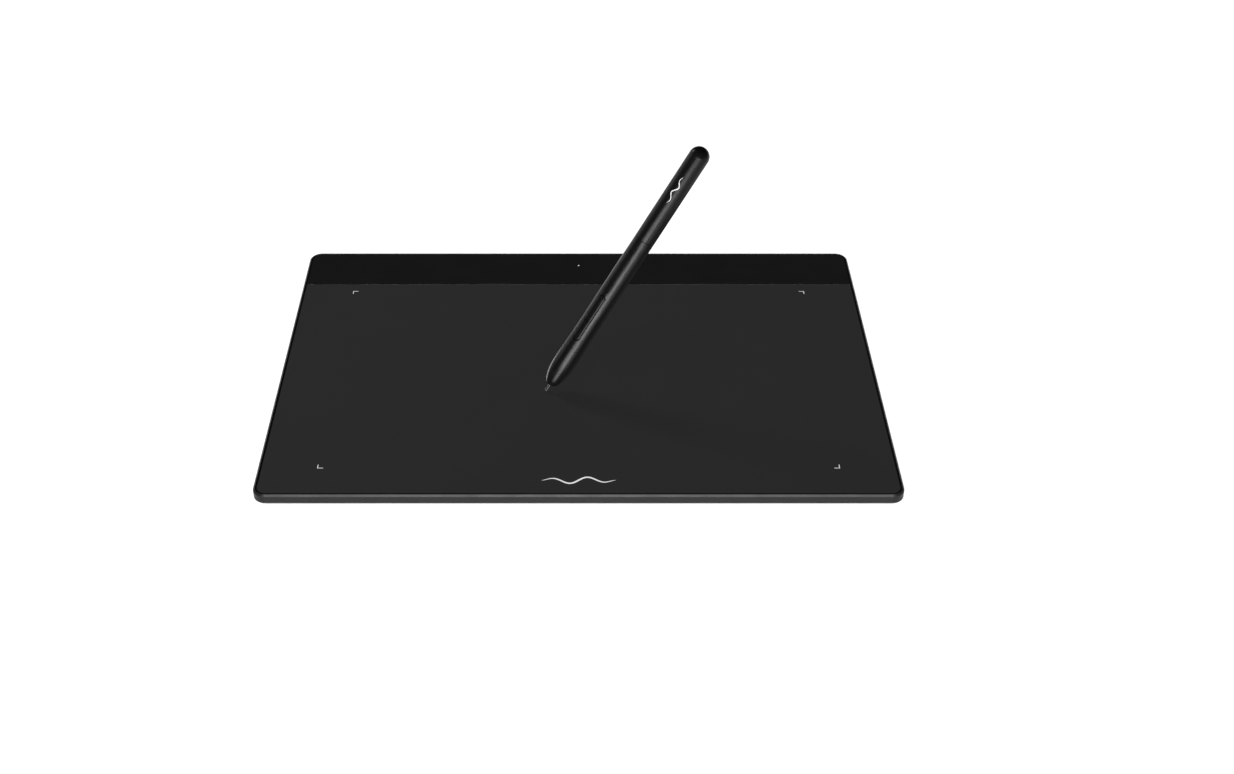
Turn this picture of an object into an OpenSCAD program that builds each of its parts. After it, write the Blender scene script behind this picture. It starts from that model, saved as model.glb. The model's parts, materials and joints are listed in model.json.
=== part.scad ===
// Pen drawing tablet with a cordless stylus standing on its drawing area.
// Millimetres. The origin is the centre of the tablet on the surface it stands on,
// +X to the right, +Y to the back, +Z up.

/* [Tablet] */
// Width of the tablet
tab_w = 312; // [306:1:330]
// Depth of the tablet
tab_d = 221.5; // [218:0.5:235]
// Height of the tablet on its feet
tab_t = 8; // [7.9:0.1:9]
// Corner radius in plan
corner_r = 6.5; // [6.5:0.5:12]
// Depth of the glossy status strip and the rim behind it
strip_d = 34.3; // [30:0.05:36]
// Distance from the back edge to the status light
led_back = 14; // [12:0.1:15]

/* [Edge] */
// Height of the underside above the desk
base_z = 0.8; // [0.6:0.1:1]
// How far the underside is set in from the outer edge
undercut_w = 5; // [3.5:0.1:5.5]
// Height where the undercut meets the upright wall
undercut_z = 3.3; // [3:0.05:4]
// Bright chamfer around the top edge
rim_chamfer = 0.85; // [0.5:0.05:1]
// Thickness of the rim beside the top plate
rim_t = 1.1; // [1.05:0.05:1.2]
// Thickness of the bottom cover's upright wall
wall_t = 1.9; // [1.7:0.1:2.1]
// Thickness of the bottom cover's floor
floor_t = 1.4; // [1.3:0.1:1.5]

/* [Top] */
// Thickness of the top plate
plate_t = 1.4; // [1.3:0.1:1.5]
// Gap between the rim and the top plate
plate_gap = 0.1; // [0.05:0.05:0.15]
// Width of the ledge around the top plate, the dark line inside the rim
ledge_w = 0.75; // [0.3:0.05:0.8]
// Depth of that ledge below the plate's top
ledge_d = 0.6; // [0.3:0.05:0.8]
// Thickness of the textured drawing sheet
sheet_t = 0.25; // [0.2:0.05:0.3]

/* [Electronics] */
// Sensor board width
sensor_w = 268; // [260:1:270]
// Sensor board depth
sensor_d = 173; // [165:1:174]
// Sensor board thickness
sensor_t = 0.8; // [0.6:0.1:0.8]
// Control board width
control_w = 150; // [140:1:160]
// Control board thickness
control_t = 1; // [0.8:0.1:1]
// Width of each ribbon cable
ribbon_w = 30; // [20:1:34]

/* [Feet and screws] */
// Foot diameter
foot_dia = 12; // [9:0.5:12]
// Feet and corner screws, distance in from the sides
fix_in_x = 14; // [13.5:0.5:15]
// Feet and corner screws, distance in from the front and back
fix_in_y = 13.25; // [13:0.25:14]
// Cover screw thread diameter
screw_dia = 2; // [1.6:0.1:2]
// Cover screw head diameter
screw_head_dia = 3.8; // [3.4:0.1:3.8]

/* [Stylus] */
// Length of the stylus, nib included
pen_l = 150; // [145:0.1:156]
// Largest radius, at the swell above the nose
grip_r = 5.85; // [5.6:0.05:6.2]
// Radius at the side keys
waist_r = 5.45; // [5.2:0.05:5.5]
// Radius from the seam to the round tail
tail_r = 5.25; // [4.9:0.05:5.4]
// Length of nib that shows
nib_out = 4.6; // [4:0.1:5]
// Nib radius
nib_r = 0.8; // [0.7:0.05:0.85]
// Angle of the stylus above the drawing sheet
pen_elevation = 55.4; // [45:0.1:75]
// Direction the stylus leans, from +X towards +Y
pen_azimuth = 22.5; // [0:0.1:45]
// Turn of the side keys about the stylus
pen_roll = -150; // [-180:0.5:180]
// Place of the nib on the drawing sheet, left to right
touch_x = -16.6; // [-100:0.1:60]
// Place of the nib on the drawing sheet, front to back
touch_y = -26.6; // [-80:0.1:40]
// Gap between the nib and the sheet
touch_gap = 0.03; // [0.03:0.01:0.1]

/* [Side keys] */
// Start of the key slot, from the nib's tip
slot_l0 = 33.2; // [33:0.1:34]
// End of the key slot
slot_l1 = 61; // [59:0.1:62]
// Place of the split between the two keys
split_l = 45.3; // [44:0.1:48]
// Width of the slot
slot_w = 4.2; // [4:0.1:4.3]
// How far the keys stand proud of the barrel
key_proud = 0.2; // [0.1:0.05:0.3]
// Clearance around each key
key_gap = 0.32; // [0.1:0.02:0.4]

/* [Hidden] */
$fn = 64;
eps = 0.01;

// Heights of the stack
sheet_z = tab_t - sheet_t;
plate_z = sheet_z - plate_t;
tape_t = 0.15;
sensor_z = plate_z - tape_t - sensor_t;
shield_t = 0.3;
shield_z = sensor_z - shield_t;
floor_z = base_z + floor_t;
control_z = 4.2;
control_top = control_z + control_t;

// Plan of the tablet
strip_y = tab_d / 2 - strip_d;
led_y = tab_d / 2 - led_back;
plate_inset = rim_t + plate_gap;
sheet_inset = plate_inset + ledge_w + 0.05;
seam = 0.05;
fix_x = tab_w / 2 - fix_in_x;
fix_y = tab_d / 2 - fix_in_y;
front_screw_y = -tab_d / 2 + 9.6;
back_screw_x = 100;

// Inside slope of the bottom cover, parallel to the undercut
undercut_slope = (undercut_z - base_z) / undercut_w;
slope_lift = floor_t * sqrt(1 + pow(undercut_slope, 2));
inner_knee_z = undercut_z + slope_lift - wall_t * undercut_slope;
inner_toe_u = (undercut_z + slope_lift - floor_z) / undercut_slope;

// Cover screws: the four corners, two sides, two at the back and one at the front
cover_screw_at = concat(
    [for (sx = [-1, 1], sy = [-1, 1]) [sx * fix_x, sy * fix_y]],
    [for (sx = [-1, 1]) [sx * fix_x, 0]],
    [for (sx = [-1, 1]) [sx * back_screw_x, fix_y]],
    [[0, front_screw_y]]
);
foot_at = [for (x = [-fix_x, 0, fix_x], sy = [-1, 1]) [x, sy * fix_y]];
foot_recess_z = base_z + 0.5;
screw_head_z = 1.4;
screw_head_h = 1.2;
cup_r = 3.2;
cup_web = 0.8;
cup_top = screw_head_z + screw_head_h + cup_web;
boss_r = 2.5;
screw_end = 5.8;

// Rating label, in a shallow recess of the underside
label_w = 60;
label_d = 25;
label_r = 1;
label_t = 0.15;
label_y = 30;
label_gap = 0.2;
label_recess = 0.2;

// Sensor board and its supports
sensor_y = -10.4;
sensor_front = sensor_y - sensor_d / 2;
sensor_back = sensor_y + sensor_d / 2;
shield_back = sensor_back - 6.5;
rib_top = 4.8;
rib_t = 1;
rib_x = [-110, -55, 0, 55, 110];
rib_y = [-70, -10, 50];
rib_front = -92;
rib_back = 68;
rib_side = 130;
foam_size = 8;

// Control board
control_front = sensor_back + 5.9;
control_back = tab_d / 2 - 3.25;
standoff_x = control_w / 2 - 4;
standoff_r = 2.2;
standoff_at = [
    for (sx = [-1, 1], y = [control_front + 3.5, control_back - 5]) [sx * standoff_x, y]
];
board_screw_dia = 1.6;
board_screw_head_r = 1.5;
board_screw_head_h = 0.9;
board_screw_l = 2.6;

// Chips on the control board: size, then places across it and distances from its front
controller_size = [7, 7, 0.85];
driver_size = [5, 4.4, 1];
driver_x = [-54, -42, 36, 48, 60];
crystal_size = [3.2, 2.5, 0.8];
capacitor_size = [1.6, 0.8, 0.8];
led_size = [1.6, 0.8, 0.6];
chip_row = control_front + 9;
driver_row = control_front + 12;
capacitor_row = control_front + 6;

// Status light: a light guide with a wide foot and a thin window
guide_foot_r = 0.8;
guide_window_r = 0.4;
guide_gap = 0.05;
guide_step_z = plate_z + 0.6;

// USB-C receptacle, a standard size
usb_w = 8.94;
usb_h = 3.26;
usb_l = 7.3;
usb_wall = 0.33;
usb_z = 4.65;
usb_y1 = tab_d / 2 - 1.45;
usb_y0 = usb_y1 - usb_l;
usb_gap = 0.18;
tongue_w = 6.69;
tongue_t = 0.7;
tongue_short = 1.0;

// Ribbon cables
ribbon_x = [-45, 45];
connector_w = ribbon_w + 2;
connector_d = 4;
connector_h = 1;
ribbon_t = 0.2;
ribbon_y0 = sensor_back - 1.5;
ribbon_y1 = control_front + 2.5;

// Stylus outline: an elliptical nose up to the swell, an easing down to the waist at the
// keys, and a straight run to the seam between the barrels. Distances along the stylus
// are from the nib's tip.
nose_r = 1.4;
swell_l = 19;
waist_l = 38;
seam_l = 95;
seam_groove = 0.12;
tail_l = pen_l - tail_r;
nose_steps = 20;
waist_steps = 12;

// Stylus bores
nib_bore_r = nib_r + 0.25;
ferrite_r = 2;
ferrite_l0 = 9.4;
ferrite_l1 = 20.4;
coil_r = 2.9;
coil_l0 = 12.2;
coil_l1 = 19.8;
bore_r = 4.1;
bore_l0 = 22;
neck_r = bore_r - 0.05;
neck_bore_r = 3.3;
neck_l0 = 88;
nib_l = 22.5;
holder_r = 1.8;
holder_l0 = 20.8;
holder_l1 = 25;
stem_r = 0.9;
stem_l1 = 28;
sensor_l0 = 26;
sensor_l1 = 32;
sensor_hole_l1 = 29.2;

// Stylus board, chassis and side keys, measured across the stylus towards the keys
chassis_r = 3.95;
chassis_bore_r = 3.2;
chassis_l0 = 23.5;
chassis_l1 = 87;
pen_board_x = 0.2;
pen_board_t = 0.8;
pen_board_w = 7;
pen_board_l0 = 36;
pen_board_l1 = 86;
pen_board_top = pen_board_x + pen_board_t;
switch_top = 2.1;
switch_l = 3;
switch_w = 2.6;
plunger_r = 0.7;
plunger_x0 = 1.85;
plunger_x1 = 2.45;
flange_x0 = 2.6;
flange_x1 = 3.2;
flange_w = 4.8;
flange_over = 0.6;
key_split = 0.15;
lower_switch_l = (slot_l0 + split_l) / 2;
upper_switch_l = (split_l + slot_l1) / 2;

// ---------------------------------------------------------------- shared shapes

// A rectangle with round corners, centred on the origin
module rounded_rect(w, d, r) {
    square([w - 2 * r, d], center = true);
    square([w, d - 2 * r], center = true);
    for (sx = [-1, 1], sy = [-1, 1])
        translate([sx * (w / 2 - r), sy * (d / 2 - r)]) circle(r);
}

// The same rectangle with some thickness
module rounded_plate(w, d, r, t) {
    linear_extrude(t) rounded_rect(w, d, r);
}

// Sweeps a profile around a rectangle with round corners. The profile's x is 0 at the
// corner centres and r at the outer edge, and its y is the height.
module swept_edge(w, d, r) {
    for (side = [0:3]) {
        across = side % 2 == 0 ? w : d;
        along = side % 2 == 0 ? d : w;
        rotate(90 * side) translate([across / 2 - r, along / 2 - r, 0]) {
            rotate_extrude(angle = 90) children();
            rotate([90, 0, 0]) linear_extrude(along - 2 * r) children();
        }
    }
}

// An upright disc or rod from height z0 to z1
module rod(r, z0, z1) {
    translate([0, 0, z0]) cylinder(r = r, h = z1 - z0);
}

// A box on a face at height z, centred in plan
module chip(size, at, z) {
    translate([at[0] - size[0] / 2, at[1] - size[1] / 2, z]) cube(size);
}

// Puts children at each place of a list
module at_each(places) {
    for (p = places) translate([p[0], p[1], 0]) children();
}

// The slot outline of the USB-C port, grown by g, in the X-Z plane
module usb_outline(g) {
    r = usb_h / 2 + g;
    square([usb_w - usb_h, 2 * r], center = true);
    for (s = [-1, 1]) translate([s * (usb_w - usb_h) / 2, 0]) circle(r);
}

// A solid with the USB outline from y0 to y1
module usb_prism(g, y0, y1) {
    translate([0, y1, usb_z]) rotate([90, 0, 0]) linear_extrude(y1 - y0) usb_outline(g);
}

// A pan-head screw with a cross recess, head down at height z
module screw(head_r, head_h, shank_r, length) {
    difference() {
        union() {
            rod(head_r, 0, head_h);
            rod(shank_r, head_h - eps, head_h + length);
        }
        for (a = [0, 90])
            rotate(a) translate([-head_r * 0.6, -head_r * 0.12, -eps])
                cube([head_r * 1.2, head_r * 0.24, head_h * 0.5]);
    }
}

// ---------------------------------------------------------------- tablet covers

module bottom_cover_shell() {
    r = corner_r;
    swept_edge(tab_w, tab_d, r) polygon([
        [0, base_z], [r - undercut_w, base_z], [r, undercut_z], [r, tab_t - rim_chamfer],
        [r - rim_chamfer, tab_t], [r - rim_chamfer - 0.1, tab_t], [r - rim_t, tab_t - 0.4],
        [r - rim_t, plate_z], [r - wall_t, plate_z], [r - wall_t, inner_knee_z],
        [r - inner_toe_u, floor_z], [0, floor_z]
    ]);
    translate([-tab_w / 2 + r, -tab_d / 2 + r, base_z])
        cube([tab_w - 2 * r, tab_d - 2 * r, floor_t]);
}

module bottom_cover_ribs() {
    for (x = rib_x)
        translate([x - rib_t / 2, rib_front, floor_z - eps])
            cube([rib_t, rib_back - rib_front, rib_top - floor_z + eps]);
    for (y = rib_y)
        translate([-rib_side, y - rib_t / 2, floor_z - eps])
            cube([2 * rib_side, rib_t, rib_top - floor_z + eps]);
}

module bottom_cover() color([0.1, 0.1, 0.11]) {
    difference() {
        union() {
            bottom_cover_shell();
            bottom_cover_ribs();
            at_each(cover_screw_at) rod(cup_r, floor_z - eps, cup_top);
            at_each(standoff_at) rod(standoff_r, floor_z - eps, control_z);
        }
        at_each(foot_at) rod(foot_dia / 2 + 0.15, base_z - 1, foot_recess_z);
        at_each(cover_screw_at) {
            rod(screw_head_dia / 2 + 0.3, base_z - 1, screw_head_z + screw_head_h);
            rod(screw_dia / 2 + 0.2, base_z, cup_top + 1);
        }
        at_each(standoff_at) rod(board_screw_dia / 2 + 0.05, floor_z, control_z + 1);
        translate([0, label_y, base_z - 1])
            rounded_plate(label_w + 2 * label_gap, label_d + 2 * label_gap,
                          label_r + label_gap, 1 + label_recess);
        usb_prism(usb_gap, usb_y0 + 2, tab_d / 2 + 1);
    }
}

module top_cover_plate() {
    r = corner_r - plate_inset;
    w = tab_w - 2 * plate_inset;
    d = tab_d - 2 * plate_inset;
    swept_edge(w, d, r) polygon([
        [0, plate_z], [r, plate_z], [r, sheet_z - ledge_d],
        [r - ledge_w, sheet_z - ledge_d], [r - ledge_w, sheet_z], [0, sheet_z]
    ]);
    translate([-w / 2 + r, -d / 2 + r, plate_z]) cube([w - 2 * r, d - 2 * r, plate_t]);
}

// Low rib that locates the top plate inside the bottom cover's wall, open at the port
module locating_rib() {
    inset = wall_t + 0.2;
    r = corner_r - inset;
    thick = 1;
    tall = 0.95;
    notch = [13, 6, 3];
    difference() {
        swept_edge(tab_w - 2 * inset, tab_d - 2 * inset, r)
            translate([r - thick, plate_z - tall]) square([thick, tall + eps]);
        translate([-notch[0] / 2, tab_d / 2 - notch[1], plate_z - notch[2]]) cube(notch);
    }
}

module top_cover() color([0.09, 0.09, 0.1]) {
    difference() {
        union() {
            top_cover_plate();
            locating_rib();
            at_each(cover_screw_at) rod(boss_r, cup_top, plate_z + eps);
        }
        at_each(cover_screw_at) rod(screw_dia / 2 + 0.05, cup_top - 1, screw_end + 0.3);
        translate([0, led_y, 0]) {
            rod(guide_foot_r + guide_gap, plate_z - 1, guide_step_z + guide_gap);
            rod(guide_window_r + guide_gap, plate_z, sheet_z + 1);
        }
    }
}

// Outline that the drawing sheet and the status strip share
module sheet_outline() {
    rounded_rect(tab_w - 2 * sheet_inset, tab_d - 2 * sheet_inset, corner_r - sheet_inset);
}

module drawing_surface() color([0.16, 0.16, 0.17]) {
    translate([0, 0, sheet_z]) linear_extrude(sheet_t) intersection() {
        sheet_outline();
        translate([-tab_w / 2, -tab_d]) square([tab_w, tab_d + strip_y - seam / 2]);
    }
}

module status_strip() color([0.05, 0.05, 0.055]) {
    translate([0, 0, sheet_z]) linear_extrude(sheet_t) difference() {
        intersection() {
            sheet_outline();
            translate([-tab_w / 2, strip_y + seam / 2]) square([tab_w, strip_d]);
        }
        translate([0, led_y]) circle(guide_window_r + guide_gap);
    }
}

module indicator_lens() color([0.9, 0.9, 0.92]) {
    translate([0, led_y, 0]) {
        rod(guide_foot_r, plate_z - 0.5, guide_step_z);
        rod(guide_window_r, guide_step_z - eps, tab_t);
    }
}

// ---------------------------------------------------------------- tablet inside

module board_tape() color([0.75, 0.75, 0.7]) {
    translate([0, sensor_y, plate_z - tape_t]) difference() {
        rounded_plate(sensor_w - 6, sensor_d - 6, 2, tape_t);
        for (s = [-1, 1])
            translate([s * sensor_w / 4, 0, -1])
                rounded_plate(sensor_w / 2 - 24, sensor_d - 30, 2, tape_t + 2);
    }
}

module sensor_board() color([0.05, 0.3, 0.18]) {
    translate([0, sensor_y, sensor_z]) rounded_plate(sensor_w, sensor_d, 2, sensor_t);
}

module shield_plate() color([0.7, 0.71, 0.73]) {
    depth = shield_back - sensor_front - 1;
    translate([0, sensor_front + 1 + depth / 2, shield_z])
        rounded_plate(sensor_w - 2, depth, 2, shield_t);
}

module foam_pads() color([0.2, 0.2, 0.2]) {
    for (x = rib_x, y = rib_y)
        translate([x - foam_size / 2, y - foam_size / 2, rib_top])
            cube([foam_size, foam_size, shield_z - rib_top]);
}

module control_board() color([0.05, 0.28, 0.17]) {
    depth = control_back - control_front;
    difference() {
        translate([0, control_front + depth / 2, control_z])
            rounded_plate(control_w, depth, 1, control_t);
        at_each(standoff_at) rod(board_screw_dia / 2 + 0.1, control_z - 1, control_top + 1);
        translate([-usb_w / 2 - 0.1, usb_y0 - 0.1, control_z - 1])
            cube([usb_w + 0.2, usb_l + 2, control_t + 2]);
    }
}

module controller_chip() color([0.08, 0.08, 0.08]) {
    chip(controller_size, [-18, chip_row], control_top);
}

module driver_chips() color([0.08, 0.08, 0.08]) {
    for (x = driver_x) chip(driver_size, [x, driver_row], control_top);
}

module crystal() color([0.8, 0.8, 0.82]) {
    chip(crystal_size, [-10, chip_row], control_top);
}

module capacitors() color([0.55, 0.45, 0.33]) {
    s = capacitor_size;
    for (i = [0:5]) chip(s, [4 + 3 * i, capacitor_row], control_top);
    for (i = [0:3]) chip([s[1], s[0], s[2]], [-26 - 2 * i, chip_row], control_top);
}

module status_led() color([0.95, 0.95, 0.9]) {
    chip(led_size, [0, led_y], control_top);
}

module ribbon_connectors() color([0.85, 0.85, 0.8]) {
    for (x = ribbon_x) {
        translate([x - connector_w / 2, ribbon_y0 - connector_d, sensor_z - connector_h])
            cube([connector_w, connector_d, connector_h]);
        translate([x - connector_w / 2, ribbon_y1, control_top])
            cube([connector_w, connector_d, connector_h]);
    }
}

// Each ribbon runs flat out of both connectors and slopes between them
module ribbon_cables() color([0.8, 0.55, 0.3]) {
    z0 = sensor_z - connector_h / 2 - ribbon_t / 2;
    z1 = control_top + connector_h / 2 - ribbon_t / 2;
    knee = 1.6;
    lower = [[ribbon_y0, z0], [ribbon_y0 + knee, z0], [ribbon_y1 - knee, z1], [ribbon_y1, z1]];
    upper = [for (i = [3:-1:0]) lower[i] + [0, ribbon_t]];
    for (x = ribbon_x)
        translate([x - ribbon_w / 2, 0, 0])
            rotate([90, 0, 90]) linear_extrude(ribbon_w) polygon(concat(lower, upper));
}

// ---------------------------------------------------------------- USB-C receptacle

module usb_shell() color([0.75, 0.76, 0.78]) {
    difference() {
        usb_prism(0, usb_y0, usb_y1);
        usb_prism(-usb_wall, usb_y0 + 0.8, usb_y1 + 1);
    }
}

module usb_tongue() color([0.06, 0.06, 0.06]) {
    translate([-tongue_w / 2, usb_y0 + 0.8, usb_z - tongue_t / 2])
        cube([tongue_w, usb_l - 0.8 - tongue_short, tongue_t]);
}

module usb_contacts() color([0.85, 0.68, 0.3]) {
    pitch = 0.5;
    for (side = [-1, 1], i = [0:11])
        translate([(i - 5.5) * pitch - 0.12, usb_y1 - tongue_short - 3.6,
                   usb_z + (side > 0 ? tongue_t / 2 : -tongue_t / 2 - 0.06)])
            cube([0.24, 3.2, 0.06]);
}

// ---------------------------------------------------------------- feet, screws, label

module rubber_feet() color([0.12, 0.12, 0.12]) {
    edge = 0.4;
    at_each(foot_at) rotate_extrude() polygon([
        [0, 0], [foot_dia / 2 - edge, 0], [foot_dia / 2, edge],
        [foot_dia / 2, foot_recess_z], [0, foot_recess_z]
    ]);
}

module cover_screws() color([0.35, 0.35, 0.37]) {
    at_each(cover_screw_at) translate([0, 0, screw_head_z])
        screw(screw_head_dia / 2, screw_head_h, screw_dia / 2,
              screw_end - screw_head_z - screw_head_h);
}

module board_screws() color([0.6, 0.6, 0.62]) {
    at_each(standoff_at) translate([0, 0, control_top + board_screw_head_h])
        mirror([0, 0, 1]) screw(board_screw_head_r, board_screw_head_h,
                                board_screw_dia / 2, board_screw_l);
}

module rating_label() color([0.3, 0.3, 0.31]) {
    translate([0, label_y, base_z + label_recess - label_t])
        rounded_plate(label_w, label_d, label_r, label_t);
}

// ---------------------------------------------------------------- stylus

// Moves a shape from the stylus's own frame, nib tip at 0 and tail along +Z with the
// keys towards +X, to its place on the tablet
module on_stylus() {
    translate([touch_x, touch_y, tab_t + touch_gap + nib_r])
        rotate([0, 90 - pen_elevation, pen_azimuth]) rotate(pen_roll)
            translate([0, 0, -nib_r]) children();
}

// Eases from 0 to 1
function ease(t) = t * t * (3 - 2 * t);

// Radius of the barrel at a distance along it, above the nose
function barrel_r(l) =
    l < swell_l ? grip_r
    : l < waist_l ? grip_r - (grip_r - waist_r) * ease((l - swell_l) / (waist_l - swell_l))
    : l < seam_l ? waist_r - (waist_r - tail_r) * (l - waist_l) / (seam_l - waist_l)
    : tail_r;

module pen_barrel_front() color([0.17, 0.17, 0.18]) on_stylus() {
    nose = [for (i = [0:nose_steps]) 90 * i / nose_steps];
    waist = [for (i = [1:waist_steps]) swell_l + (waist_l - swell_l) * i / waist_steps];
    difference() {
        rotate_extrude() polygon(concat(
            [for (a = nose) [nose_r + (grip_r - nose_r) * sin(a),
                             swell_l - (swell_l - nib_out) * cos(a)]],
            [for (l = concat(waist, [seam_l - seam_groove])) [barrel_r(l), l]],
            [[barrel_r(seam_l) - seam_groove, seam_l], [bore_r, seam_l], [bore_r, bore_l0],
             [coil_r + 0.1, bore_l0 - 1], [coil_r + 0.1, coil_l0 - 0.2],
             [ferrite_r + 0.05, coil_l0 - 0.2], [ferrite_r + 0.05, ferrite_l0 - 0.1],
             [nib_bore_r, ferrite_l0 - 0.1], [nib_bore_r, nib_out]]
        ));
        pen_slot(0, flange_x0, grip_r + 1, slot_l0, slot_l1);
    }
}

module pen_barrel_rear() color([0.17, 0.17, 0.18]) on_stylus() {
    wall = 1.1;
    start = seam_l + 0.05;
    difference() {
        union() {
            rotate_extrude() polygon([
                [0, start], [tail_r - seam_groove, start],
                [tail_r, start + seam_groove], [tail_r, tail_l],
                [0, tail_l]
            ]);
            translate([0, 0, tail_l]) sphere(tail_r);
            rod(neck_r, neck_l0, start + 1);
        }
        rod(neck_bore_r, neck_l0 - 1, seam_l + 4);
        rod(tail_r - wall, seam_l + 4 - eps, tail_l);
    }
}

module pen_chassis() color([0.3, 0.3, 0.3]) on_stylus() {
    difference() {
        rod(chassis_r, chassis_l0, chassis_l1);
        rod(chassis_bore_r, chassis_l0 - 1, chassis_l1 - 2);
        translate([pen_board_x, -5, chassis_l0 - 1]) cube([5, 10, chassis_l1]);
    }
}

// A box in the stylus frame from height x0 to x1, w wide, from l0 to l1
module pen_block(x0, x1, w, l0, l1) {
    translate([x0, -w / 2, l0]) cube([x1 - x0, w, l1 - l0]);
}

// A disc in the stylus frame facing the keys, centred at l
module pen_button_disc(r, x0, x1, l) {
    translate([x0, 0, l]) rotate([0, 90, 0]) cylinder(r = r, h = x1 - x0);
}

module pen_board() color([0.05, 0.28, 0.17]) on_stylus() {
    pen_block(pen_board_x, pen_board_top, pen_board_w, pen_board_l0, pen_board_l1);
}

module pen_capacitors() color([0.55, 0.45, 0.33]) on_stylus() {
    for (i = [0:4])
        pen_block(pen_board_top, pen_board_top + 0.7, 1.6, 66 + 4 * i, 68 + 4 * i);
}

module switch_housings() color([0.8, 0.8, 0.8]) on_stylus() {
    for (l = [lower_switch_l, upper_switch_l]) difference() {
        pen_block(pen_board_top, switch_top, switch_w, l - switch_l / 2, l + switch_l / 2);
        pen_button_disc(plunger_r + 0.1, 1.4, switch_top + 1, l);
    }
}

module ferrite_core() color([0.15, 0.14, 0.14]) on_stylus() {
    rotate_extrude() translate([nib_bore_r, ferrite_l0])
        square([ferrite_r - nib_bore_r, ferrite_l1 - ferrite_l0]);
}

module antenna_coil() color([0.75, 0.4, 0.2]) on_stylus() {
    rotate_extrude() translate([ferrite_r + 0.02, coil_l0])
        square([coil_r - ferrite_r - 0.02, coil_l1 - coil_l0]);
}

module pressure_sensor() color([0.5, 0.5, 0.52]) on_stylus() {
    difference() {
        rod(chassis_bore_r - 0.05, sensor_l0, sensor_l1);
        rod(stem_r + 0.15, sensor_l0 - 1, sensor_hole_l1);
    }
}

module pressure_pad() color([0.85, 0.85, 0.8]) on_stylus() {
    rod(stem_r, stem_l1 + 0.6, sensor_hole_l1);
}

module nib() color([0.13, 0.13, 0.13]) on_stylus() {
    translate([0, 0, nib_r]) sphere(nib_r);
    rod(nib_r, nib_r, nib_l);
}

module nib_holder() color([0.8, 0.8, 0.78]) on_stylus() {
    difference() {
        union() {
            rod(holder_r, holder_l0, holder_l1);
            rod(stem_r, holder_l1 - eps, stem_l1);
        }
        rod(nib_r, holder_l0 - 1, nib_l);
    }
}

// The key slot from height x0 to x1, with round ends, all shrunk by gap
module pen_slot(gap, x0, x1, l0, l1) {
    r = slot_w / 2;
    pen_block(x0, x1, 2 * (r - gap), l0 + r, l1 - r);
    for (l = [l0 + r, l1 - r]) pen_button_disc(r - gap, x0, x1, l);
}

// A side key that fills the slot between l0 and l1, with its retaining flange and the
// nub over the switch
module side_key(l0, l1, flange_l0, flange_l1, switch_at) {
    intersection() {
        rod(waist_r + key_proud, l0, l1);
        pen_slot(key_gap, flange_x1 - eps, grip_r + 1, slot_l0, slot_l1);
    }
    pen_block(flange_x0, flange_x1, flange_w, flange_l0, flange_l1);
    pen_button_disc(0.6, plunger_x1, flange_x0 + eps, switch_at);
}

module side_button_lower() color([0.12, 0.12, 0.13]) on_stylus() {
    side_key(slot_l0, split_l - key_split, slot_l0 - flange_over, split_l - key_split,
             lower_switch_l);
}

module side_button_upper() color([0.12, 0.12, 0.13]) on_stylus() {
    side_key(split_l + key_split, slot_l1, split_l + key_split, slot_l1 + flange_over,
             upper_switch_l);
}

module switch_plunger_lower() color([0.2, 0.2, 0.2]) on_stylus() {
    pen_button_disc(plunger_r, plunger_x0, plunger_x1, lower_switch_l);
}

module switch_plunger_upper() color([0.2, 0.2, 0.2]) on_stylus() {
    pen_button_disc(plunger_r, plunger_x0, plunger_x1, upper_switch_l);
}

bottom_cover();
top_cover();
drawing_surface();
status_strip();
indicator_lens();
board_tape();
sensor_board();
shield_plate();
foam_pads();
control_board();
controller_chip();
driver_chips();
crystal();
capacitors();
status_led();
usb_shell();
usb_tongue();
usb_contacts();
ribbon_connectors();
ribbon_cables();
rubber_feet();
cover_screws();
board_screws();
rating_label();
pen_barrel_front();
pen_barrel_rear();
pen_chassis();
pen_board();
pen_capacitors();
switch_housings();
ferrite_core();
antenna_coil();
pressure_sensor();
pressure_pad();
nib();
nib_holder();
side_button_lower();
switch_plunger_lower();
side_button_upper();
switch_plunger_upper();
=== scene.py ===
"""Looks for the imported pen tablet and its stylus: edges, materials, printed marks, and a studio."""

import json
import math

import bmesh
import bpy
from mathutils import Matrix, Vector

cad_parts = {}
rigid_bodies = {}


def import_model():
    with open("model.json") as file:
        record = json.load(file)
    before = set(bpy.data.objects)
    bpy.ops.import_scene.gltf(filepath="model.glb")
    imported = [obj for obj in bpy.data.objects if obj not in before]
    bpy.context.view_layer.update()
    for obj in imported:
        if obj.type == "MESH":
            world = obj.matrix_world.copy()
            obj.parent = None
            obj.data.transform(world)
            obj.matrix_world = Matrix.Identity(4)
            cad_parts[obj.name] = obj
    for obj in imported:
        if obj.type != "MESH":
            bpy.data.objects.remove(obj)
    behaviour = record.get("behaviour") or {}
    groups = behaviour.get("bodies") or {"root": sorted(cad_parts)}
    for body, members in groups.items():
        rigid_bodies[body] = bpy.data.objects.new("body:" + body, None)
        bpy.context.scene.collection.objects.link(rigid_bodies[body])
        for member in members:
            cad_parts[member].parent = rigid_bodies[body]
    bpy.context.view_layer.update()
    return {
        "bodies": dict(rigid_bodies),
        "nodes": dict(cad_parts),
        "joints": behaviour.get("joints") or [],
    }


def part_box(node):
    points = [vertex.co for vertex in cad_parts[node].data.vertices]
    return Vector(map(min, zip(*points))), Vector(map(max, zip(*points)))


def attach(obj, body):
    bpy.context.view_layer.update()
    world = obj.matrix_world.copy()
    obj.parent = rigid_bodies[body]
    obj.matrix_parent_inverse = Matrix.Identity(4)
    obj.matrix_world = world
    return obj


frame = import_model()
nodes = frame["nodes"]
joints = {j["name"]: j for j in frame["joints"]}
MM = 0.001

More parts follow.
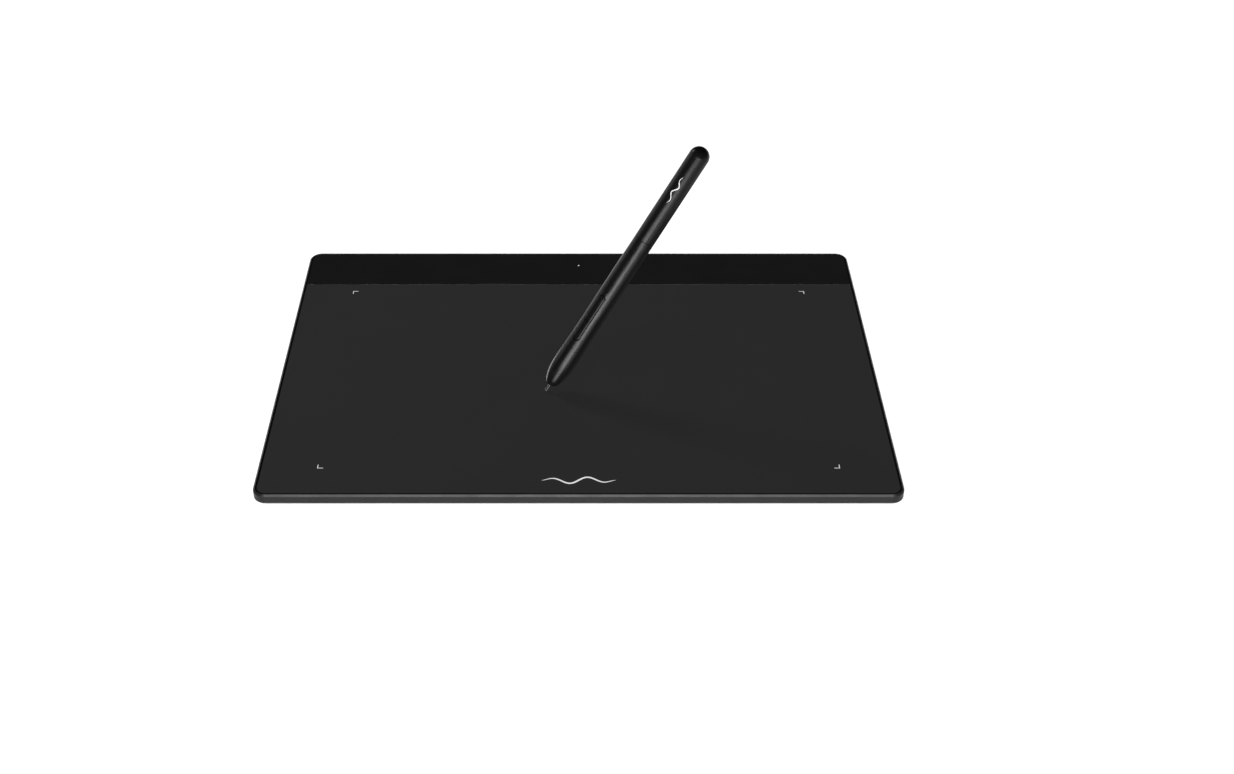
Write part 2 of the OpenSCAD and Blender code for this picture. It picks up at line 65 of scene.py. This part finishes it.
# Moulded plastic: how wide its slow drift of tone and its handling marks are, and how much lighter
# the drift makes it.
DRIFT_SIZE, MARK_SIZE, DRIFT_LIGHTER = 28 * MM, 9 * MM, 1.22
# Points this close are one point, and faces within this angle are one flat face.
WELD_WITHIN, FLAT_WITHIN = 0.002 * MM, math.radians(0.5)
# Printed ink reaches from just below the surface to this height over it.
INK_BELOW, INK_ABOVE = -0.008 * MM, 0.016 * MM
STYLUS_LENGTH, TAIL_RADIUS, NIB_RADIUS = 150 * MM, 5.25 * MM, 0.8 * MM


# ---------------------------------------------------------------- node helpers

class Look:
    """A material on one Principled shader. Sizes are in metres, in the piece's own coordinates."""

    def __init__(self, name, colour, rough, **sockets):
        self.mat = bpy.data.materials.new(name)
        self.mat.use_nodes = True
        self.tree = self.mat.node_tree
        self.shader = self.tree.nodes["Principled BSDF"]
        self.colour = colour
        self.shader.inputs["Base Color"].default_value = (*colour, 1)
        self.shader.inputs["Roughness"].default_value = rough
        for socket, value in sockets.items():
            self.shader.inputs[socket.replace("_", " ")].default_value = value
        self.where = self.node("ShaderNodeTexCoord").outputs["Object"]
        self.normal = None
        self.diffuse = None

    def node(self, kind, **settings):
        made = self.tree.nodes.new(kind)
        for name, value in settings.items():
            setattr(made, name, value)
        return made

    def link(self, source, target):
        self.tree.links.new(source, target)

    def stretched(self, scale=(1, 1, 1), turn=(0, 0, 0)):
        """The piece's coordinates, scaled along its axes and then turned."""
        made = self.node("ShaderNodeMapping")
        made.inputs["Scale"].default_value = scale
        made.inputs["Rotation"].default_value = turn
        self.link(self.where, made.inputs["Vector"])
        return made.outputs["Vector"]

    def noise(self, size, detail=2.0, where=None, rough=0.5):
        """Clouds of that size. detail is how many finer layers they have, rough how strong those are."""
        made = self.node("ShaderNodeTexNoise")
        made.inputs["Scale"].default_value = 1 / size
        made.inputs["Detail"].default_value = detail
        made.inputs["Roughness"].default_value = rough
        self.link(where or self.where, made.inputs["Vector"])
        return made.outputs["Fac"]

    def cells(self, size):
        """Distance from the middles of cells of that size."""
        made = self.node("ShaderNodeTexVoronoi")
        made.inputs["Scale"].default_value = 1 / size
        self.link(self.where, made.inputs["Vector"])
        return made.outputs["Distance"]

    def waves(self, size, axis):
        """Ridges across that axis, size apart. At scale 1 the node's own are pi / 10 apart."""
        made = self.node("ShaderNodeTexWave", bands_direction=axis)
        made.inputs["Scale"].default_value = math.pi / (10 * size)
        self.link(self.where, made.inputs["Vector"])
        return made.outputs["Fac"]

    def remap(self, value, low, high, start=0.3, end=0.7):
        """value from start..end to low..high, held at both ends."""
        made = self.node("ShaderNodeMapRange")
        limits = {"From Min": start, "From Max": end, "To Min": low, "To Max": high}
        for socket, number in limits.items():
            made.inputs[socket].default_value = number
        self.link(value, made.inputs["Value"])
        return made.outputs["Result"]

    def maths(self, operation, a, b):
        """The operation on a and b, each a number or another node's output."""
        made = self.node("ShaderNodeMath", operation=operation)
        for socket, value in zip(made.inputs, (a, b)):
            if isinstance(value, (int, float)):
                socket.default_value = value
            else:
                self.link(value, socket)
        return made.outputs["Value"]

    def tint(self, factor, colour):
        """Mixes colour over what the base colour is so far, by factor."""
        made = self.node("ShaderNodeMix", data_type="RGBA")
        sockets = {s.identifier: s for s in made.inputs}
        first, second = sockets["A_Color"], sockets["B_Color"]
        first.default_value = (*self.colour, 1)
        second.default_value = (*colour, 1)
        if self.diffuse:
            self.link(self.diffuse, first)
        self.link(factor, sockets["Factor_Float"])
        self.diffuse = next(s for s in made.outputs if s.identifier == "Result_Color")
        self.link(self.diffuse, self.shader.inputs["Base Color"])

    def roughness(self, value):
        """Takes the roughness from another node's output."""
        self.link(value, self.shader.inputs["Roughness"])

    def bump(self, height, depth, strength=1.0):
        """Adds a bump of that depth to the ones before it."""
        made = self.node("ShaderNodeBump")
        made.inputs["Distance"].default_value = depth
        made.inputs["Strength"].default_value = strength
        self.link(height, made.inputs["Height"])
        if self.normal:
            self.link(self.normal, made.inputs["Normal"])
        self.normal = made.outputs["Normal"]
        self.link(self.normal, self.shader.inputs["Normal"])

    def see_through_from_behind(self):
        """Shows only the front of the faces, so that what lies on a floor can be seen from below."""
        mix = self.node("ShaderNodeMixShader")
        self.link(self.node("ShaderNodeNewGeometry").outputs["Backfacing"], mix.inputs["Fac"])
        self.link(self.shader.outputs["BSDF"], mix.inputs[1])
        self.link(self.node("ShaderNodeBsdfTransparent").outputs["BSDF"], mix.inputs[2])
        self.link(mix.outputs["Shader"], self.tree.nodes["Material Output"].inputs["Surface"])

    def shade_upright_sides(self, colour):
        """Paints shade on the upright sides of a lying sheet, where it was cut: they get that colour, as
        if the groove round the sheet shaded them.
        """
        parts = self.node("ShaderNodeSeparateXYZ")
        self.link(self.node("ShaderNodeNewGeometry").outputs["True Normal"], parts.inputs["Vector"])
        lying = self.maths("ABSOLUTE", parts.outputs["Z"], 0)
        self.tint(self.remap(lying, 1, 0), colour)

    def rubbed_edges(self, radius, colour, amount):
        """Lightens edges in patches, where hands have rubbed the texture down. An edge is where the
        normal of a bevel of that radius turns away from the surface's own."""
        bevelled = self.node("ShaderNodeBevel", samples=4)
        bevelled.inputs["Radius"].default_value = radius
        surface = self.node("ShaderNodeNewGeometry")
        alike = self.node("ShaderNodeVectorMath", operation="DOT_PRODUCT")
        self.link(bevelled.outputs["Normal"], alike.inputs[0])
        self.link(surface.outputs["Normal"], alike.inputs[1])
        edge = self.remap(alike.outputs["Value"], amount, 0, start=0.75, end=0.99)
        patches = self.remap(self.noise(6 * MM, 4), 0.35, 1)
        self.tint(self.maths("MULTIPLY", edge, patches), colour)


def plastic(name, base, rough, grain, depth, spread=0.06, specular=0.5):
    """Moulded plastic: a fine even texture of that grain and depth, faint drift of tone, and faint
    handling marks that change the roughness by up to spread."""
    look = Look(name, base, rough, Specular_IOR_Level=specular)
    lighter = tuple(c * DRIFT_LIGHTER for c in base)
    look.tint(look.remap(look.noise(DRIFT_SIZE, 3), 0, 1), lighter)
    marks = look.noise(MARK_SIZE, 5, rough=0.62)
    fine = look.noise(grain * 2.5, 2)
    both = look.maths("ADD", look.remap(marks, -spread, spread), look.remap(fine, -0.02, 0.02))
    look.roughness(look.maths("ADD", both, rough))
    look.bump(look.noise(grain, 3, rough=0.6), depth)
    return look


# ---------------------------------------------------------------- materials, one for each slot

def make_looks():
    looks = {}

    cover = plastic("cover_plastic", (0.0060, 0.0060, 0.0063), rough=0.40,
                    grain=0.22 * MM, depth=0.012 * MM, specular=0.17)
    cover.rubbed_edges(radius=0.35 * MM, colour=(0.03, 0.03, 0.031), amount=0.35)
    looks["cover_plastic"] = cover

    # Painted shade: the top cover is darker and less glossy than the cover plastic, so that its edge
    # round the drawing sheet stays dark like the shade of a groove.
    looks["top_plastic"] = plastic("top_plastic", (0.0018, 0.0018, 0.0019), rough=0.6,
                                   grain=0.2 * MM, depth=0.01 * MM, specular=0.06)

    film = Look("drawing_film", (0.0096, 0.0096, 0.0097), 0.74, Specular_IOR_Level=0.15)
    film.tint(film.remap(film.noise(60 * MM, 3), 0, 0.5), (0.0106, 0.0106, 0.0107))
    # Painted shade: the film's cut sides are darkened so that the groove round the sheet reads as a dark
    # line.
    film.shade_upright_sides((0.002, 0.002, 0.002))
    film.roughness(film.remap(film.noise(14 * MM, 4, rough=0.6), 0.73, 0.77))
    film.bump(film.cells(0.16 * MM), 0.010 * MM)
    film.bump(film.noise(0.45 * MM, 3), 0.008 * MM)
    looks["drawing_film"] = film

    strip = Look("strip_film", (0.0024, 0.0024, 0.0026), 0.13, Specular_IOR_Level=0.45)
    wiped = strip.stretched(scale=(1, 1.7, 1), turn=(0, 0, 0.5))
    smudge = strip.noise(22 * MM, 5, where=wiped, rough=0.6)
    strip.roughness(strip.remap(smudge, 0.12, 0.155, start=0.4, end=0.68))
    strip.tint(strip.remap(smudge, 0, 1, start=0.4, end=0.7), (0.0030, 0.0030, 0.0032))
    strip.bump(strip.noise(30 * MM, 1), 0.02 * MM, strength=0.3)
    looks["strip_film"] = strip

    lens = Look("lens", (0.58, 0.59, 0.61), 0.22, Specular_IOR_Level=0.5, Coat_Weight=0.4)
    lens.tint(lens.remap(lens.noise(0.3 * MM, 2), 0, 1), (0.72, 0.73, 0.75))
    lens.bump(lens.noise(0.2 * MM, 2), 0.004 * MM)
    looks["lens"] = lens

    tape = Look("tape", (0.62, 0.58, 0.46), 0.5)
    tape.tint(tape.remap(tape.noise(5 * MM, 4), 0, 1), (0.54, 0.50, 0.38))
    tape.bump(tape.waves(0.5 * MM, "X"), 0.01 * MM)
    looks["tape"] = tape

    board = Look("circuit_board", (0.010, 0.085, 0.045), 0.32, Coat_Weight=0.35, Coat_Roughness=0.2)
    across = board.remap(board.waves(3.2 * MM, "X"), 0, 1, start=0.86, end=0.93)
    along = board.remap(board.waves(3.2 * MM, "Y"), 0, 1, start=0.86, end=0.93)
    traces = board.maths("MAXIMUM", across, along)
    board.tint(board.maths("MULTIPLY", traces, 0.8), (0.02, 0.15, 0.07))
    board.tint(board.remap(board.noise(11 * MM, 4), 0, 0.5), (0.006, 0.060, 0.034))
    board.bump(traces, 0.03 * MM)
    looks["circuit_board"] = board

    brushed = (1, 60, 1)   # drawn out along X
    for name, colour, rough in (
        ("shield_steel", (0.55, 0.56, 0.58), 0.36),
        ("metal_can", (0.62, 0.62, 0.63), 0.30),
        ("port_steel", (0.56, 0.57, 0.60), 0.27),
        ("plain_screw", (0.50, 0.50, 0.52), 0.33),
    ):
        steel = Look(name, colour, rough, Metallic=1.0)
        grain = steel.noise(1.2 * MM, 4, where=steel.stretched(brushed), rough=0.6)
        steel.roughness(steel.remap(grain, rough - 0.07, rough + 0.10))
        steel.tint(steel.remap(steel.noise(4 * MM, 4), 0, 0.6), tuple(c * 0.82 for c in colour))
        steel.bump(grain, 0.004 * MM)
        looks[name] = steel

    foam = Look("foam", (0.018, 0.018, 0.019), 0.95, Sheen_Weight=0.15)
    pores = foam.cells(0.5 * MM)
    # Painted shade: the middles of the pores, where the bump sinks, are darkened as if shaded.
    foam.tint(foam.remap(pores, 1, 0, start=0.05, end=0.4), (0.006, 0.006, 0.006))
    foam.bump(pores, 0.25 * MM)
    looks["foam"] = foam

    for name, base, rough, grain in (
        ("chip_resin", (0.012, 0.012, 0.012), 0.55, 0.09),
        ("port_resin", (0.010, 0.010, 0.010), 0.45, 0.12),
        ("inner_plastic", (0.075, 0.075, 0.078), 0.5, 0.3),
        ("switch_body", (0.56, 0.56, 0.53), 0.45, 0.15),
        ("connector_plastic", (0.66, 0.64, 0.57), 0.45, 0.2),
        ("plunger_plastic", (0.02, 0.02, 0.02), 0.4, 0.15),
        ("led_body", (0.78, 0.78, 0.68), 0.3, 0.2),
        ("capacitor_body", (0.26, 0.17, 0.095), 0.4, 0.1),
    ):
        looks[name] = plastic(name, base, rough, grain * MM, depth=0.008 * MM)

    ribbon = Look("ribbon_film", (0.42, 0.20, 0.045), 0.25, Coat_Weight=0.5, Coat_Roughness=0.15)
    wires = ribbon.remap(ribbon.waves(0.5 * MM, "X"), 0, 1, start=0.45, end=0.6)
    ribbon.tint(wires, (0.52, 0.30, 0.09))
    ribbon.bump(wires, 0.03 * MM)
    looks["ribbon_film"] = ribbon

    gold = Look("contact_gold", (0.83, 0.58, 0.21), 0.24, Metallic=1.0)
    gold.roughness(gold.remap(gold.noise(0.5 * MM, 4), 0.16, 0.34))
    gold.bump(gold.noise(0.15 * MM, 2), 0.003 * MM)
    looks["contact_gold"] = gold

    rubber = Look("rubber_foot", (0.016, 0.016, 0.016), 0.82,
                  Sheen_Weight=0.08, Specular_IOR_Level=0.35)
    dusty = rubber.remap(rubber.noise(1.6 * MM, 5), 0, 1, start=0.5, end=0.75)
    rubber.tint(dusty, (0.034, 0.033, 0.031))
    rubber.bump(rubber.noise(0.3 * MM, 4), 0.03 * MM)
    looks["rubber_foot"] = rubber

    oxide = Look("black_screw", (0.030, 0.030, 0.032), 0.38, Metallic=0.85)
    worn = oxide.remap(oxide.noise(0.8 * MM, 4), 0, 1, start=0.5, end=0.75)
    oxide.tint(worn, (0.075, 0.072, 0.068))
    oxide.bump(oxide.noise(0.25 * MM, 3), 0.008 * MM)
    oxide.rubbed_edges(radius=0.12 * MM, colour=(0.22, 0.21, 0.20), amount=0.8)
    looks["black_screw"] = oxide

    looks["label_film"] = plastic("label_film", (0.075, 0.075, 0.078), rough=0.34,
                                  grain=0.4 * MM, depth=0.004 * MM)
    looks["stylus_plastic"] = plastic("stylus_plastic", (0.0030, 0.0030, 0.0031), rough=0.28,
                                      grain=0.14 * MM, depth=0.004 * MM, spread=0.03, specular=0.13)
    looks["key_plastic"] = plastic("key_plastic", (0.0030, 0.0030, 0.0031), rough=0.24,
                                   grain=0.10 * MM, depth=0.003 * MM, spread=0.03, specular=0.15)
    looks["nib_plastic"] = plastic("nib_plastic", (0.006, 0.006, 0.006), rough=0.3,
                                   grain=0.12 * MM, depth=0.004 * MM, specular=0.3)

    ferrite = Look("ferrite", (0.045, 0.042, 0.042), 0.55, Metallic=0.35)
    ferrite.tint(ferrite.remap(ferrite.noise(0.4 * MM, 5), 0, 1), (0.085, 0.078, 0.076))
    ferrite.bump(ferrite.noise(0.2 * MM, 5), 0.02 * MM)
    looks["ferrite"] = ferrite

    wire = Look("coil_wire", (0.50, 0.15, 0.055), 0.26,
                Metallic=0.9, Coat_Weight=0.6, Coat_Roughness=0.1)
    wire.tint(wire.remap(wire.noise(0.8 * MM, 3), 0, 1), (0.38, 0.10, 0.04))
    wire.bump(wire.noise(0.1 * MM, 2), 0.003 * MM)
    looks["coil_wire"] = wire

    silicone = Look("silicone", (0.66, 0.66, 0.60), 0.5,
                    Subsurface_Weight=0.2, Subsurface_Scale=2 * MM)
    silicone.tint(silicone.remap(silicone.noise(0.6 * MM, 3), 0, 1), (0.58, 0.58, 0.52))
    silicone.bump(silicone.noise(0.15 * MM, 3), 0.008 * MM)
    looks["silicone"] = silicone

    ink = Look("print_ink", (0.54, 0.54, 0.55), 0.55, Specular_IOR_Level=0.3)
    thin = ink.remap(ink.noise(0.35 * MM, 4), 0, 1, start=0.45, end=0.7)
    ink.tint(thin, (0.46, 0.46, 0.47))
    ink.bump(ink.noise(0.12 * MM, 3), 0.004 * MM)
    looks["print_ink"] = ink
    return looks


looks = make_looks()
for node in nodes.values():
    for i, old in enumerate(node.data.materials):
        node.data.materials[i] = looks[old.name.split(".")[0]].mat


# ---------------------------------------------------------------- edges of the CAD pieces

def weld(piece):
    """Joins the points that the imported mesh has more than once, and shades its faces smooth."""
    joined = piece.modifiers.new("weld", "WELD")
    joined.merge_threshold = WELD_WITHIN
    piece.data.polygons.foreach_set("use_smooth", [True] * len(piece.data.polygons))


def soften(names, width, angle=25, flatten=True):
    """Rounds the edges of CAD pieces that are sharper than the angle, in degrees, by width. flatten
    first takes away the edges that cross flat faces."""
    for name in names:
        piece = nodes[name]
        weld(piece)
        if flatten:
            flat = piece.modifiers.new("flat", "DECIMATE")
            flat.decimate_type = "DISSOLVE"
            flat.angle_limit = FLAT_WITHIN
        bevel = piece.modifiers.new("bevel", "BEVEL")
        bevel.width = width
        bevel.segments = 2
        bevel.limit_method = "ANGLE"
        bevel.angle_limit = math.radians(angle)
        weighted = piece.modifiers.new("normals", "WEIGHTED_NORMAL")
        weighted.keep_sharp = False
        weighted.weight = 60


def smooth(names, angle=30):
    """Shades round surfaces smooth and keeps every edge sharper than the angle, in degrees."""
    for name in names:
        piece = nodes[name]
        weld(piece)
        split = piece.modifiers.new("sharp", "EDGE_SPLIT")
        split.split_angle = math.radians(angle)


def clear_split_normals():
    """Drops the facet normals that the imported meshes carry, so that smooth shading works."""
    for piece in nodes.values():
        attribute = piece.data.attributes.get("custom_normal")
        if attribute:
            piece.data.attributes.remove(attribute)


clear_split_normals()
soften(["bottom_cover"], 0.14 * MM)
soften(["top_cover"], 0.08 * MM)
soften(["drawing_surface"], 0.05 * MM)
soften(["status_strip"], 0.02 * MM)
soften(["side_button_lower", "side_button_upper"], 0.15 * MM, angle=35)
soften(["rubber_feet"], 0.15 * MM)
soften(["pen_barrel_front", "pen_barrel_rear"], 0.05 * MM, angle=35, flatten=False)
smooth([name for name, piece in nodes.items() if not piece.modifiers])


# ---------------------------------------------------------------- stylus frame

# Z runs from the nib's tip up the stylus, and X points to the keys. The nib ends in a ball, which
# touches the three sides of the nib's box that meet at its lowest corner.
axis = Vector(joints["nib_press"]["axis"]).normalized()
to_keys = -Vector(joints["lower_key_press"]["axis"]).normalized()
stylus_frame = Matrix((to_keys, axis.cross(to_keys), axis)).transposed().to_4x4()
stylus_frame.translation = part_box("nib")[0] + Vector((NIB_RADIUS,) * 3) - axis * NIB_RADIUS


# ---------------------------------------------------------------- printed marks

def printed(name, body, outlines, place):
    """Ink as thin closed solids. Each outline is one strip of quads: pairs of left and right points.
    place turns a flat point and a height over the surface into a point of the frame."""
    heights = (INK_BELOW, INK_ABOVE)
    mesh = bmesh.new()
    for pairs in outlines:
        rows = [[mesh.verts.new(place(p, z)) for p in pair for z in heights] for pair in pairs]
        for (ll, lh, rl, rh), (ll2, lh2, rl2, rh2) in zip(rows, rows[1:]):
            mesh.faces.new((lh, rh, rh2, lh2))
            mesh.faces.new((ll, ll2, rl2, rl))
            mesh.faces.new((ll, lh, lh2, ll2))
            mesh.faces.new((rl, rl2, rh2, rh))
        for ll, lh, rl, rh in (rows[0], rows[-1]):
            mesh.faces.new((ll, rl, rh, lh))
    bmesh.ops.recalc_face_normals(mesh, faces=mesh.faces)
    data = bpy.data.meshes.new(name)
    mesh.to_mesh(data)
    mesh.free()
    data.materials.append(looks["print_ink"].mat)
    piece = bpy.data.objects.new(name, data)
    bpy.context.scene.collection.objects.link(piece)
    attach(piece, body)
    return piece


def wave_stroke(length, height, thick):
    """A plain brush stroke: a wave that swells in the middle and tapers out at both ends."""
    waves, steps, near, thinnest = 2.0, 96, 0.002, 0.12

    def middle(t):
        swing = 0.5 * (height - thick) * math.sin(math.pi * t) ** 0.6
        return Vector(((t - 0.5) * length, swing * math.sin(2 * math.pi * waves * t)))

    pairs = []
    for i in range(steps + 1):
        t = i / steps
        ahead = middle(min(1, t + near)) - middle(max(0, t - near))
        side = Vector((-ahead.y, ahead.x)).normalized()
        half = 0.5 * thick * max(thinnest, math.sin(math.pi * t) ** 0.5)
        pairs.append((middle(t) + side * half, middle(t) - side * half))
    return pairs


# The corner marks stand where the active area ends, which is this far inside the sensor board.
margin_x, margin_y = 7.0 * MM, 6.87 * MM
sheet_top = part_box("drawing_surface")[1].z
board_low, board_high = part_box("sensor_board")
active_x = (board_high.x - board_low.x) / 2 - margin_x
active_y0, active_y1 = board_low.y + margin_y, board_high.y - margin_y
arm, line = 2.8 * MM, 0.36 * MM


def on_sheet(p, z):
    """Lays a flat point on the drawing sheet."""
    return Vector((p[0], p[1], sheet_top + z))


corners = []
for sx in (-1, 1):
    for y, sy in ((active_y0, 1), (active_y1, -1)):
        x = sx * active_x
        corners.append([
            ((x, y + sy * arm), (x - sx * line, y + sy * arm)),
            ((x, y), (x - sx * line, y + sy * line)),
            ((x - sx * arm, y), (x - sx * arm, y + sy * line)),
        ])
ink_pieces = [printed("corner_marks", "tablet", corners, on_sheet)]

front_mark_at = Vector((0, -99.2 * MM))
wave = wave_stroke(length=35.5 * MM, height=5.8 * MM, thick=1.0 * MM)
front_wave = [[p + front_mark_at for p in pair] for pair in wave]
ink_pieces.append(printed("front_mark", "tablet", [front_wave], on_sheet))

# The stylus's mark is this far from the tip, and this far round from the side with the keys.
stylus_mark_up, stylus_mark_turn = 125.5 * MM, math.radians(13)


def on_tail(p, z):
    """Wraps a flat point round the straight rear barrel: x along it, y round it."""
    angle = stylus_mark_turn + p[1] / TAIL_RADIUS
    r = TAIL_RADIUS + z
    return stylus_frame @ Vector((r * math.cos(angle), r * math.sin(angle), stylus_mark_up + p[0]))


wave = wave_stroke(length=15 * MM, height=2.6 * MM, thick=0.50 * MM)
ink_pieces.append(printed("stylus_mark", "stylus", [wave], on_tail))


# ---------------------------------------------------------------- studio

def strip_light(name, start, end, height, radiance):
    """A long softbox between two points, facing the stylus. It lights only the stylus, and only the
    stylus shades it, so that it can reach below the floor and edge the stylus from there."""
    start, end = Vector(start), Vector(end)
    centre = (start + end) / 2
    side = (end - start).normalized()
    back = (centre - stylus_middle).normalized()
    up = back.cross(side).normalized()
    data = bpy.data.lights.new(name, "AREA")
    data.shape = "RECTANGLE"
    data.size, data.size_y = (end - start).length, height
    data.energy = radiance * math.pi * data.size * data.size_y
    lamp = bpy.data.objects.new(name, data)
    turn = Matrix((side, up, side.cross(up))).transposed().to_4x4()
    lamp.matrix_world = Matrix.Translation(centre) @ turn
    lamp.visible_camera = False
    lamp.light_linking.receiver_collection = stylus_pieces
    lamp.light_linking.blocker_collection = stylus_pieces
    bpy.context.scene.collection.objects.link(lamp)


def far_light(name, towards, irradiance, spread, only=None):
    """A softbox far away, seen in that direction and spread degrees wide: the same light all over
    the floor. With only, it lights those pieces alone, and they alone shade it."""
    data = bpy.data.lights.new(name, "SUN")
    data.energy = irradiance
    data.angle = math.radians(spread)
    lamp = bpy.data.objects.new(name, data)
    lamp.rotation_euler = Vector(towards).to_track_quat("Z", "Y").to_euler()
    if only:
        lamp.light_linking.receiver_collection = only
        lamp.light_linking.blocker_collection = only
    bpy.context.scene.collection.objects.link(lamp)


stylus_middle = stylus_frame @ Vector((0, 0, STYLUS_LENGTH / 2))
tablet = frame["bodies"]["tablet"]
tablet_pieces = bpy.data.collections.new("tablet_pieces")
stylus_pieces = bpy.data.collections.new("stylus_pieces")
all_but_stylus = bpy.data.collections.new("all_but_stylus")
for piece in list(nodes.values()) + ink_pieces:
    if piece.parent == tablet:
        tablet_pieces.objects.link(piece)
    else:
        stylus_pieces.objects.link(piece)
        all_but_stylus.objects.link(piece)
for entry in all_but_stylus.collection_objects:
    entry.light_linking.link_state = "EXCLUDE"

# The stylus has its own lights: the main one neither lights it nor is shaded by it.
far_light("front_top", (0.0, -0.80, 0.60), irradiance=7.0, spread=30, only=all_but_stylus)
far_light("back_left", (-0.66, 0.56, 0.50), irradiance=0.7, spread=16)
far_light("underside", (0.0, 0.0, -1.0), irradiance=4.0, spread=14, only=tablet_pieces)
for name, start, end, height, radiance in (
    ("front_wide", (-0.93, -1.5, 0.54), (0.15, -1.5, -0.14), 0.34, 12.0),
    ("front_end", (0.15, -1.5, -0.14), (0.82, -1.5, -0.56), 0.34, 3.5),
    ("front_core", (-0.57, -1.5, 0.34), (0.15, -1.5, -0.06), 0.30, 13.0),
    ("front_nose", (-0.24, -1.5, -0.10), (-0.70, -1.5, -1.15), 0.75, 12.0),
    ("left_side", (-1.5, -0.05, 0.50), (-1.2, 1.30, 0.25), 0.35, 1.8),
    ("left_back", (-1.20, 0.80, -0.25), (-0.60, 1.15, -0.75), 0.60, 2.6),
    ("right_low", (0.98, -0.75, -0.86), (0.68, 0.75, -1.05), 0.80, 0.15),
):
    strip_light(name, start, end, height, radiance)

# The world is a dim room to the pieces and a pale backdrop to the eye, from every side.
world = bpy.data.worlds.new("studio")
world.use_nodes = True
tree = world.node_tree
room = tree.nodes["Background"]
room.inputs["Color"].default_value = (0.06, 0.06, 0.06, 1)
backdrop = tree.nodes.new("ShaderNodeBackground")
backdrop.inputs["Color"].default_value = (0.88, 0.88, 0.88, 1)
seen = tree.nodes.new("ShaderNodeLightPath")
either = tree.nodes.new("ShaderNodeMixShader")
tree.links.new(seen.outputs["Is Camera Ray"], either.inputs["Fac"])
tree.links.new(room.outputs["Background"], either.inputs[1])
tree.links.new(backdrop.outputs["Background"], either.inputs[2])
tree.links.new(either.outputs["Shader"], tree.nodes["World Output"].inputs["Surface"])
bpy.context.scene.world = world

bpy.ops.mesh.primitive_plane_add(size=40)
floor = bpy.context.object
floor.name = "floor"
paper = Look("floor_paper", (0.86, 0.86, 0.86), 0.3, Specular_IOR_Level=0.5)
paper.tint(paper.remap(paper.noise(0.4, 3), 0, 1), (0.88, 0.88, 0.88))
paper.see_through_from_behind()
floor.data.materials.append(paper.mat)

# In front of the tablet and above it, looking down on it.
optics = bpy.data.cameras.new("camera")
optics.lens = 48.04
optics.sensor_width = 36
optics.shift_x = 0.0311
optics.clip_start = 0.01
camera = bpy.data.objects.new("camera", optics)
camera.location = (0, -0.7142, 0.5096)
camera.rotation_euler = (math.radians(54.04), 0, 0)
bpy.context.scene.collection.objects.link(camera)
bpy.context.scene.camera = camera
bpy.context.scene.view_settings.view_transform = "Standard"
